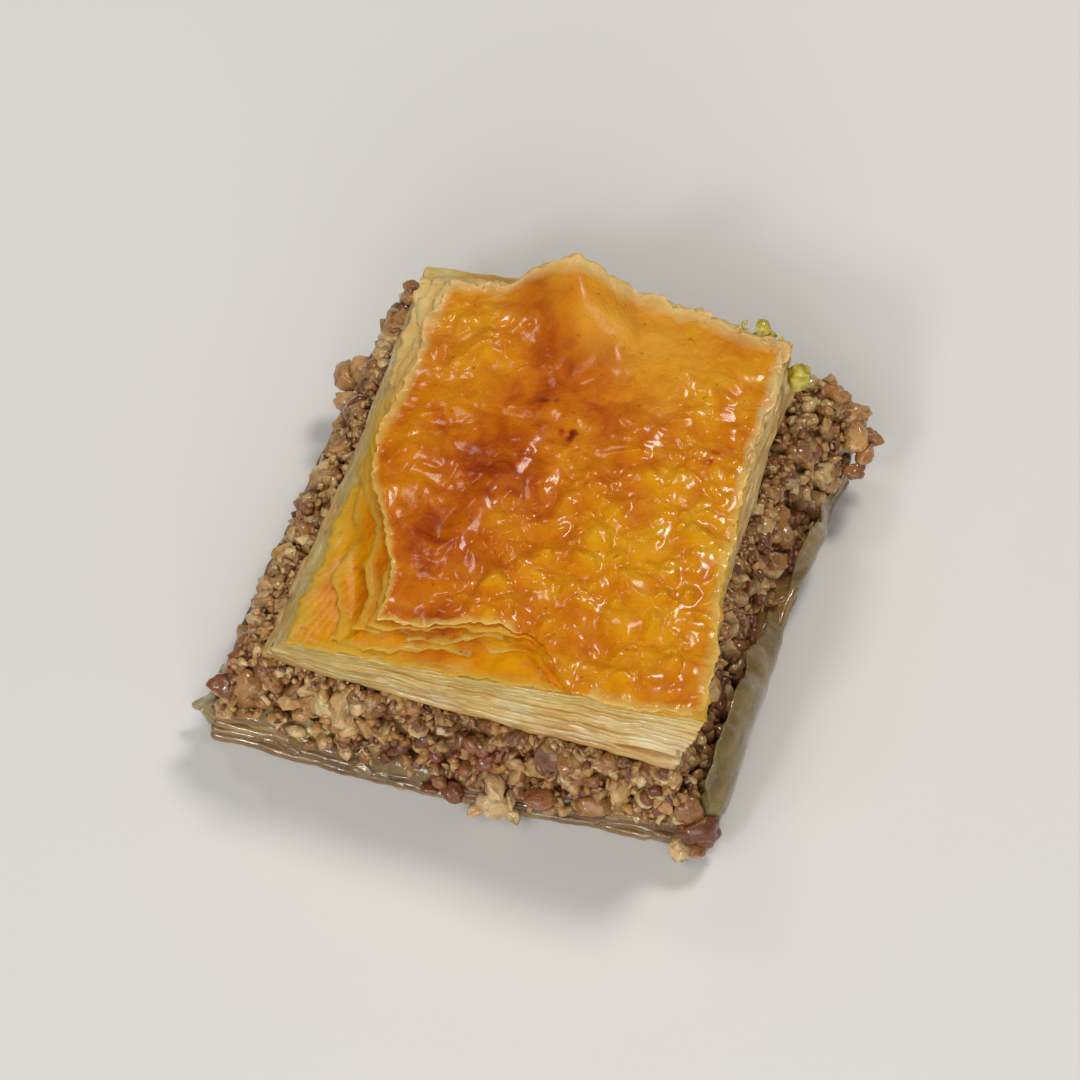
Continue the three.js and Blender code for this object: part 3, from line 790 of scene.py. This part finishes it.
def edge_material():
    """Cream sheets seen from their cut edges, in streaks, golden towards the crust, with a painted highlight
    near the front right corner.
    """
    material, tree, shader = new_material(
        "pastry_edge", Subsurface_Weight=0.5, Subsurface_Radius=(1.0, 0.5, 0.22), Subsurface_Scale=0.0022,
        Coat_Roughness=0.15, Specular_IOR_Level=0.35,
    )
    place = object_place(tree)
    streaks = clouds(tree, object_place(tree, (1.0, 1.0, 6.0)), 190.0, 4.0, 0.55, 0.3)
    level = attribute(tree, "level")
    color = ramp(tree, streaks, [
        (0.30, 186, 134, 64), (0.46, 201, 152, 80), (0.6, 216, 174, 104), (0.74, 238, 210, 152),
    ])
    clumps = clouds(tree, object_place(tree, (1.0, 1.0, 3.0)), 280.0, 3.0)
    lumps = remap(tree, clumps, 0.52, 0.66, 0.0, 0.45)
    color = mix_color(tree, lumps, color, srgb(248, 224, 180))
    # A highlight is painted onto the cut sheets round a spot near the front right corner.
    highlight_gap = node(tree, "VectorMath", {0: place, 1: PAINTED_HIGHLIGHT_SPOT}, operation="DISTANCE")
    highlight_share = remap(tree, highlight_gap.outputs["Value"], 0.001, 0.004, 0.3, 0.0)
    color = mix_color(tree, highlight_share, color, srgb(250, 236, 208))
    low = remap(tree, level, 0.0, 0.25, 0.45, 0.0)
    color = mix_color(tree, low, color, srgb(172, 128, 76))
    high = remap(tree, level, 0.4, 0.98, 0.0, 0.68)
    high = calc(tree, "MULTIPLY", high, toward_back(tree, place, 1.0, 0.4))
    color = mix_color(tree, high, color, srgb(208, 162, 70))
    coat = wet(tree, shader, place, wetness=0.44, patch_scale=300.0, dry=0.5, soaked=0.2)
    feed(tree, shader, Base_Color=color, Coat_Weight=coat)
    crinkle = use_group(tree, pastry_crinkle, {"Vector": place, "Crease Scale": 600.0})
    leaves = clouds(tree, object_place(tree, (0.25, 0.25, 7.0)), 480.0, 2.0)
    set_bump(tree, shader, calc(tree, "MULTIPLY_ADD", leaves, 1.2, crinkle["Height"]), 0.05 * MM)
    return material


pastry_edge = edge_material()
finish_piece("stack_lower_sheets", stack_lower, pastry_edge, "top_pastry")
finish_piece("stack_upper_sheets", stack_upper, pastry_edge, "top_pastry")


# ---- The browned leaves ----
# The last sheets were brushed with butter and baked brown. They lie loosely: each is torn away a little
# further along the left and the front, so that their edges show as steps, and the top one lifts into a
# small tent at the back. Syrup makes them glassy and golden.

LEAF_THICKNESS = 0.11
LEAF_WIDTH = 38.0
GLOW_WIDTHS = {"under": 24.0, "back": 17.0}  # a smaller width makes a leaf's pale rim wider
PEAK = {"x": -4.4, "y": 19.0, "left": -8.4, "right": 1.0, "lift": 2.7}
LEAF_LAYERS = ("browning_and_shade", "pale", "rim")
# For each leaf: how far it is torn away, how far it rises from the sheets to the top, grid cells a side.
LEAVES = (
    (0.0, 0.0, 126), (0.42, 0.12, 98), (0.78, 0.50, 98), (0.93, 0.80, 104), (1.0, 1.0, 215)
)
# Long soft folds: the points that each one runs through, its height and its half width.
FOLDS = (
    (((-1.9, 3.5), (-2.6, -2.0), (-4.0, -6.0), (-4.2, -13.5)), 0.50, 1.6),
    (((-8.6, 17.0), (-8.9, 10.0), (-9.6, 4.0)), 0.35, 1.6),
    (((-11.6, 1.0), (-12.0, -4.0), (-10.4, -10.0)), 0.35, 1.2),
    (((5.6, 12.5), (7.0, 6.0), (5.0, -1.0)), 0.25, 2.4),
    (((-1.2, -8.0), (0.4, -12.0), (-0.6, -16.0)), 0.35, 1.2),
    (((12.0, 15.0), (12.6, 4.0), (14.8, -6.0)), 0.20, 2.0),
)
# Where the crust is darker or lighter than the rest: middle, reach and by how much.
BAKED_ZONES = (
    (-5.4, -9.0, 4.4, 0.26), (-3.8, -1.0, 4.8, 0.26), (-1.6, 9.5, 4.8, 0.24), (-5.6, 14.8, 2.8, 0.24),
    (-7.3, -13.5, 3.6, 0.18), (14.5, -2.0, 6.0, -0.18), (14.5, -13.0, 6.0, -0.12), (6.5, -5.0, 4.0, -0.08),
    (-11.0, 12.0, 4.5, -0.08), (-3.0, -19.0, 4.0, 0.20), (10.0, 14.0, 4.0, -0.12),
)
SCORCHES = ((0.9, 3.8, 1.3, 0.7), (-1.4, 6.2, 0.8, 0.4), (13.4, 5.2, 1.0, 0.6))
PALE_ZONES = (
    (7.0, 14.6, 4.4, 0.60), (2.2, 16.0, 4.0, 0.75), (-4.2, 19.2, 3.4, 0.90), (7.7, 9.2, 1.6, 0.50),
    (-0.2, 14.6, 2.2, 0.35), (-11.2, 12.6, 4.2, 0.30),
)
# Where the crust blistered: middle, reach and how much.
LIVELY_ZONES = (
    (13.0, -12.0, 9.5, 1.0), (12.0, 1.0, 7.5, 0.85), (2.5, -13.5, 6.5, 0.75), (-10.6, 12.5, 4.4, 1.1),
    (-11.5, -1.0, 4.0, 0.3), (10.5, 13.0, 4.0, 0.35), (5.0, -3.0, 4.5, 0.5),
)


def left_tear(y):
    return -7.6 - 6.6 * ease(y, -19.0, -1.5)


def front_tear(x):
    return -18.9 + 2.6 * ease(x, -7.8, 5.0) - 4.8 * ease(x, 5.0, 11.0)


def back_tear(x):
    """How far short of the sheets' back edge the crust ends."""
    return 1.2 * (1 - ease(x, -9.5, -7.5)) + 0.2


def zones(x, y, places):
    """The sum of soft round patches, each given by its middle, reach and strength."""
    return sum(
        strength * math.exp(-((x - at_x) ** 2 + (y - at_y) ** 2) / reach ** 2)
        for at_x, at_y, reach, strength in places
    )


def fold_lift(x, y):
    """How high the long folds raise the crust."""
    lift = 0.0
    for path, height, reach in FOLDS:
        nearest, at = 9.0, 0.0
        for index, ((ax, ay), (bx, by)) in enumerate(zip(path, path[1:])):
            run_x, run_y = bx - ax, by - ay
            t = ((x - ax) * run_x + (y - ay) * run_y) / (run_x ** 2 + run_y ** 2)
            t = min(1.0, max(0.0, t))
            gap = math.hypot(x - ax - t * run_x, y - ay - t * run_y)
            if gap < nearest:
                nearest, at = gap, (index + t) / (len(path) - 1)
        across = max(0.0, 1 - (nearest / reach) ** 2)
        lift += height * across ** 2 * math.sin(math.pi * (0.12 + 0.76 * at))
    return lift


def tent(x, y):
    """1 on the ridge of the lifted corner at the back, and 0 at its foot."""
    forward = PEAK["y"] - y
    ridge = PEAK["x"] + 0.55 * max(0.0, forward)
    side = ridge - PEAK["left"] if x < ridge else PEAK["right"] + 0.45 * forward - ridge
    steep = max(0.0, 1.1 - math.hypot(abs(x - ridge) / max(side, 3.5), 0.12))
    return steep * ease(y, 8.0, 19.5)


def relief(x, y):
    """The baked leaf's long waves, creases and blisters, in millimetres."""
    lively = min(1.1, 0.20 + zones(x, y, LIVELY_ZONES))
    height = fold_lift(x, y) * (0.8 + 0.9 * wander(x, y, 79, 2.4)) + 0.30 * wander(x, y, 73, 9.0)
    x, y = x + 1.1 * wander(x, y, 71, 3.0), y + 1.1 * wander(x, y, 72, 3.0)
    height += (0.12 + 0.20 * lively) * wander(x, y, 74, 2.8) + 0.06 * wander(x, y, 78, 1.3)
    for cell, plate, tall, seed in ((2.4, 0.18, 0.42, 5.0), (1.2, 0.08, 0.22, 9.0)):
        distances, points = noise.voronoi(Vector((x / cell, y / cell, seed)))
        chance = 0.5 + 0.5 * noise.noise(points[0] * 5.37)
        dome = max(0.0, 1 - (distances[0] / (0.34 + 0.34 * chance)) ** 2) ** 1.4
        level = ease(distances[1] - distances[0], 0.0, 0.7)
        height += lively * (plate * level + tall * (chance ** 1.5) * dome)
    return height + (0.01 + 0.03 * lively) * wander(x, y, 76, 0.8)


def leaf_place(u, v, torn, seed):
    """Where the leaf's point u across, v back lies, given how far its sides are torn away."""
    x, y = spot(STACK_OUTLINES[1], u, v)
    left_x = spot(STACK_OUTLINES[1], 0.0, v)[0]
    front_y = spot(STACK_OUTLINES[1], u, 0.0)[1]
    loose = min(0.6, 1.4 * (1 - torn))
    left_wander = 1 + loose * wander(0, y, seed, 6.0)
    front_wander = 1 + loose * wander(x, 0, seed + 2, 6.0)
    x += (1 - u) * torn * max(0.0, left_tear(y) - left_x) * left_wander
    y += (1 - v) * torn * max(0.0, front_tear(x) - front_y) * front_wander
    return x, y - v * back_tear(x)


def leaf_rise(x, y, rise):
    """A leaf's share of the way up. The lower ones climb to the upper ones' edge, and join at the right."""
    inside = min(x - left_tear(y), y - front_tear(x))
    climb = 0.80 * ease(inside, -3.2, 1.2)
    joined = ease(x, 0.0, 8.0)
    return max(rise, climb, 0.98 * joined)


def new_leaves():
    """A mesh whose points hold the leaves' layers."""
    leaves = bmesh.new()
    for name in LEAF_LAYERS:
        leaves.verts.layers.float.new(name)
    return leaves


def leaf(torn, rise, steps, seed):
    """One leaf as a mesh. Each point holds how browned it is, with painted shade in the valleys, how pale it
    is and how near its edge.
    """
    sheet = new_leaves()
    browning_and_shade, pale, rim = (sheet.verts.layers.float[name] for name in LEAF_LAYERS)
    bmesh.ops.create_grid(sheet, x_segments=steps, y_segments=steps, size=0.5)
    for vert in sheet.verts:
        u, v = vert.co.x + 0.5, vert.co.y + 0.5
        x, y = leaf_place(u, v, torn, seed)
        edge_gap = min(u, 1 - u, v, 1 - v) * LEAF_WIDTH
        near_edge = 1 - ease(edge_gap, 0.0, 1.6)
        ragged = 0.45 * wander(x, y, seed, 4.0) + 0.35 * wander(x, y, seed + 3, 1.3)
        ragged += 0.22 * wander(x, y, seed + 5, 0.55)
        ragged *= 1 + 0.7 * ease(v, 0.8, 1.0)
        out_x, out_y = outward(u, v)
        x += out_x * near_edge * ragged
        y += out_y * near_edge * ragged
        share = leaf_rise(x, y, rise)
        if not torn:
            share *= ease(edge_gap, -1.2, 3.0)
        lifted = tent(x, y) if rise > 0.6 else 0.0
        pleats = math.sin(9.0 * (x - 0.25 * y) + 5.0 * wander(x, y, 77, 3.0)) * (1 - share)
        pleats *= 0.035 * ease(-x, 8.0, 10.0) * (0.8 + 1.4 * wander(x, y, 85, 2.0))
        bumps = relief(x, y) * (0.4 + 0.6 * share) * (1 - 0.75 * lifted) + pleats
        lip = near_edge ** 2 * (0.28 * wander(x, y, seed + 6, 2.6) + 0.10 * wander(x, y, seed + 8, 0.8))
        lip *= 1 - 0.85 * ease(x, 2.0, 7.0) * (1 - ease(v, 0.5, 1.0))
        low = corner_blend(SHEET_HEIGHTS, x, y) + 0.05
        high = corner_blend(LEAF_HEIGHTS, x, y)
        below = 0.30 * (1.0 - rise) * (1 - 0.8 * ease(x, 3.0, 8.0))
        z = low + (high - low) * share - below * share + bumps + lip + PEAK["lift"] * lifted
        vert.co = (x, y + 0.4 * lifted + v * back_tear(x) * lifted, z)
        dark = 0.46 + zones(x, y, BAKED_ZONES) + 0.16 * wander(x, y, 81, 4.5) + 0.10 * wander(x, y, 82, 1.4)
        dark += 0.8 * zones(x, y, SCORCHES) * ease(wander(x, 1.3 * y, 84, 0.9), 0.05, 0.45)
        # The colour is painted darker in the valleys of the blisters and pleats and lighter on their tops:
        # partly syrup pooled in the valleys, partly painted shade.
        dark -= 0.30 * (bumps - fold_lift(x, y)) * min(1.0, 0.3 + zones(x, y, LIVELY_ZONES))
        vert[browning_and_shade] = dark - 0.18 * (1 - share) - 2.4 * pleats
        vert[pale] = min(1.0, zones(x, y, PALE_ZONES) * (0.8 + 0.6 * wander(x, y, 83, 2.2)))
        wide = 0.0 if torn else 0.3 * (1 - ease(x, -2.0, 8.0))
        left_gap = u * (GLOW_WIDTHS["under"] if rise < 1 else LEAF_WIDTH)
        left_gap *= (1 - 0.4 * ease(y, -6.0, 2.0)) * (1 - wide)
        front_gap = v * LEAF_WIDTH * (1 - wide)
        front_gap += 3 * torn * ease(x, 3.0, 6.0) * (1 - ease(x, 10.0, 12.0))
        frayed = 1 + 0.5 * wander(x, y, 86, 1.6)
        right_gap, back_gap = GLOW_WIDTHS["under"] * (1 - u), GLOW_WIDTHS["back"] * (1 - v)
        vert[rim] = frayed * min(left_gap, front_gap, right_gap, back_gap)
    thicken(sheet, -LEAF_THICKNESS)
    return sheet


def leaf_material(name, edge_glow, edge_color, gloss):
    """Baked, syruped pastry: amber, browner where it caught the heat and darker with painted shade in its
    valleys, and yellow where it is thin.
    """
    material, tree, shader = new_material(
        name, Subsurface_Weight=0.25, Subsurface_Radius=(1.0, 0.40, 0.08), Subsurface_Scale=0.0012,
        Coat_Roughness=0.15, Specular_IOR_Level=0.06,
    )
    place = object_place(tree)
    browning_and_shade, pale, rim = (attribute(tree, name) for name in LEAF_LAYERS)
    mottle = clouds(tree, place, 380.0, 5.0, 0.6, 0.6)
    heat = calc(tree, "ADD", browning_and_shade, remap(tree, mottle, 0.3, 0.7, -0.16, 0.16))
    color = ramp(tree, heat, [
        (0.05, 222, 160, 28), (0.25, 226, 144, 4), (0.45, 212, 119, 1),
        (0.65, 192, 92, 0), (0.85, 152, 58, 0), (1.0, 104, 34, 2),
    ])
    color = mix_color(tree, pale, color, srgb(232, 158, 50))
    glow = remap(tree, rim, 0.10, 0.80, edge_glow, 0.0)
    edge = mix_color(tree, toward_back(tree, place, 0.0, 0.8), edge_color, srgb(236, 210, 154))
    color = mix_color(tree, glow, color, edge)
    speck_share = remap(tree, clouds(tree, place, 1500.0, 2.0), 0.68, 0.76, 0.0, 0.5)
    color = mix_color(tree, speck_share, color, srgb(116, 46, 6))
    coat = wet(tree, shader, place, wetness=0.52, patch_scale=210.0, dry=0.46, soaked=0.26)
    coat = calc(tree, "MULTIPLY", coat, remap(tree, pale, 0.1, 0.5, gloss, 0.1 * gloss))
    coat = calc(tree, "MULTIPLY", coat, remap(tree, browning_and_shade, 0.55, 0.85, 1.0, 0.35))
    feed(tree, shader, Base_Color=color, Coat_Weight=coat)
    crinkle = use_group(tree, pastry_crinkle, {"Vector": place, "Crease Scale": 620.0, "Pore Scale": 2400.0})
    set_bump(tree, shader, crinkle["Height"], 0.05 * MM)
    return material


under_leaves = new_leaves()
for index, (torn, rise, steps) in enumerate(LEAVES[:-1]):
    take_in(under_leaves, leaf(torn, rise, steps, 90 + 10 * index))
golden_leaf = leaf_material("golden_leaf", edge_glow=0.78, edge_color=srgb(204, 160, 56), gloss=0.22)
finish_piece("golden_under_leaves", under_leaves, golden_leaf, "top_pastry")
browned_leaf = leaf_material("browned_leaf", edge_glow=0.65, edge_color=srgb(232, 196, 104), gloss=0.85)
finish_piece("browned_top_leaf", leaf(*LEAVES[-1], seed=140), browned_leaf, "top_pastry")


# ---- Pistachio crumbs ----
# A few crumbs of chopped pistachio stuck to the syrup at the back right corner of the crust. Each entry is
# a crumb's middle and its size.

PISTACHIO_CRUMBS = (
    ((12.3, 19.8, 17.5), 1.7), ((16.7, 17.3, 15.7), 2.8), ((14.6, 19.3, 17.1), 1.2),
    ((13.4, 19.7, 17.0), 0.9), ((15.6, 13.2, 16.9), 0.8), ((11.0, 19.4, 18.0), 0.8),
)
PISTACHIO_SEED = 5

pistachios = new_bed()
rng = random.Random(PISTACHIO_SEED)
for middle, size in PISTACHIO_CRUMBS:
    walnut_piece(pistachios, rng, Vector(middle), size, rng.random(), 3)
pistachio, pistachio_tree, pistachio_shader = new_material(
    "pistachio", Subsurface_Weight=0.2, Subsurface_Radius=(0.6, 1.0, 0.2), Subsurface_Scale=0.0008,
    Roughness=0.4, Coat_Weight=0.4, Coat_Roughness=0.1,
)
pistachio_grain = clouds(pistachio_tree, object_place(pistachio_tree), 1400.0, 4.0)
pistachio_stops = [(0.35, 142, 128, 30), (0.5, 184, 166, 46), (0.68, 208, 194, 90)]
pistachio_color = ramp(pistachio_tree, pistachio_grain, pistachio_stops)
feed(pistachio_tree, pistachio_shader, Base_Color=pistachio_color)
set_bump(pistachio_tree, pistachio_shader, pistachio_grain, 0.10 * MM)
finish_piece("pistachio_crumbs", pistachios, pistachio, flat_layer="flesh")


# ---- Syrup beads ----
# Syrup that ran down the cut sides stopped in clear flat beads: a cluster on the front of the foot, and
# a few more along it and round the right corner.

BEAD_CLUSTER = {"count": 26, "middle": 0.36, "spread": 0.08}
LONE_BEADS = 8
BEAD_SIZES = (0.8, 2.4)
BEAD_SEED = 23


def syrup_bead(beads, rng, u, v, share):
    """Adds one bead that clings to the foot's side, flat where it faces out and up."""
    x, y = between(FOOT_OUTLINES, share, u, v)
    out_x, out_y = outward(u, v)
    size = rng.uniform(*BEAD_SIZES)
    bead = bmesh.new()
    bmesh.ops.create_icosphere(bead, subdivisions=3, radius=0.5)
    way, facing = Vector((out_x, out_y, 0)), Vector((out_x, out_y, 1.1)).normalized()
    for vert in bead.verts:
        vert.co *= size * (1 + 0.3 * noise.noise(vert.co * 1.6 + Vector((x, y, size))))
        vert.co.z *= 0.7
        vert.co -= way * 0.55 * vert.co.dot(way)
        vert.co -= facing * 0.88 * max(0.0, vert.co.dot(facing) - 0.14 * size)
    z = 0.5 * size + (FOOT_TOP - 0.8) * share
    bmesh.ops.translate(bead, vec=(x + 0.15 * out_x, y + 0.15 * out_y, z), verts=bead.verts[:])
    take_in(beads, bead)


beads = bmesh.new()
rng = random.Random(BEAD_SEED)
for _ in range(BEAD_CLUSTER["count"]):
    syrup_bead(beads, rng, rng.gauss(BEAD_CLUSTER["middle"], BEAD_CLUSTER["spread"]), 0.0, rng.random())
for _ in range(LONE_BEADS):
    along = rng.random()
    u, v = rng.choice(((along, 0.0), (1.0, 0.4 * along)))
    syrup_bead(beads, rng, u, v, rng.random())
syrup, syrup_tree, syrup_shader = new_material("syrup", Roughness=0.06, IOR=1.5, Alpha=0.34)
syrup_clouds = clouds(syrup_tree, object_place(syrup_tree), 200.0)
syrup_color = ramp(syrup_tree, syrup_clouds, [(0.4, 146, 116, 70), (0.6, 186, 160, 116)])
feed(syrup_tree, syrup_shader, Base_Color=syrup_color)
finish_piece("syrup_beads", beads, syrup)
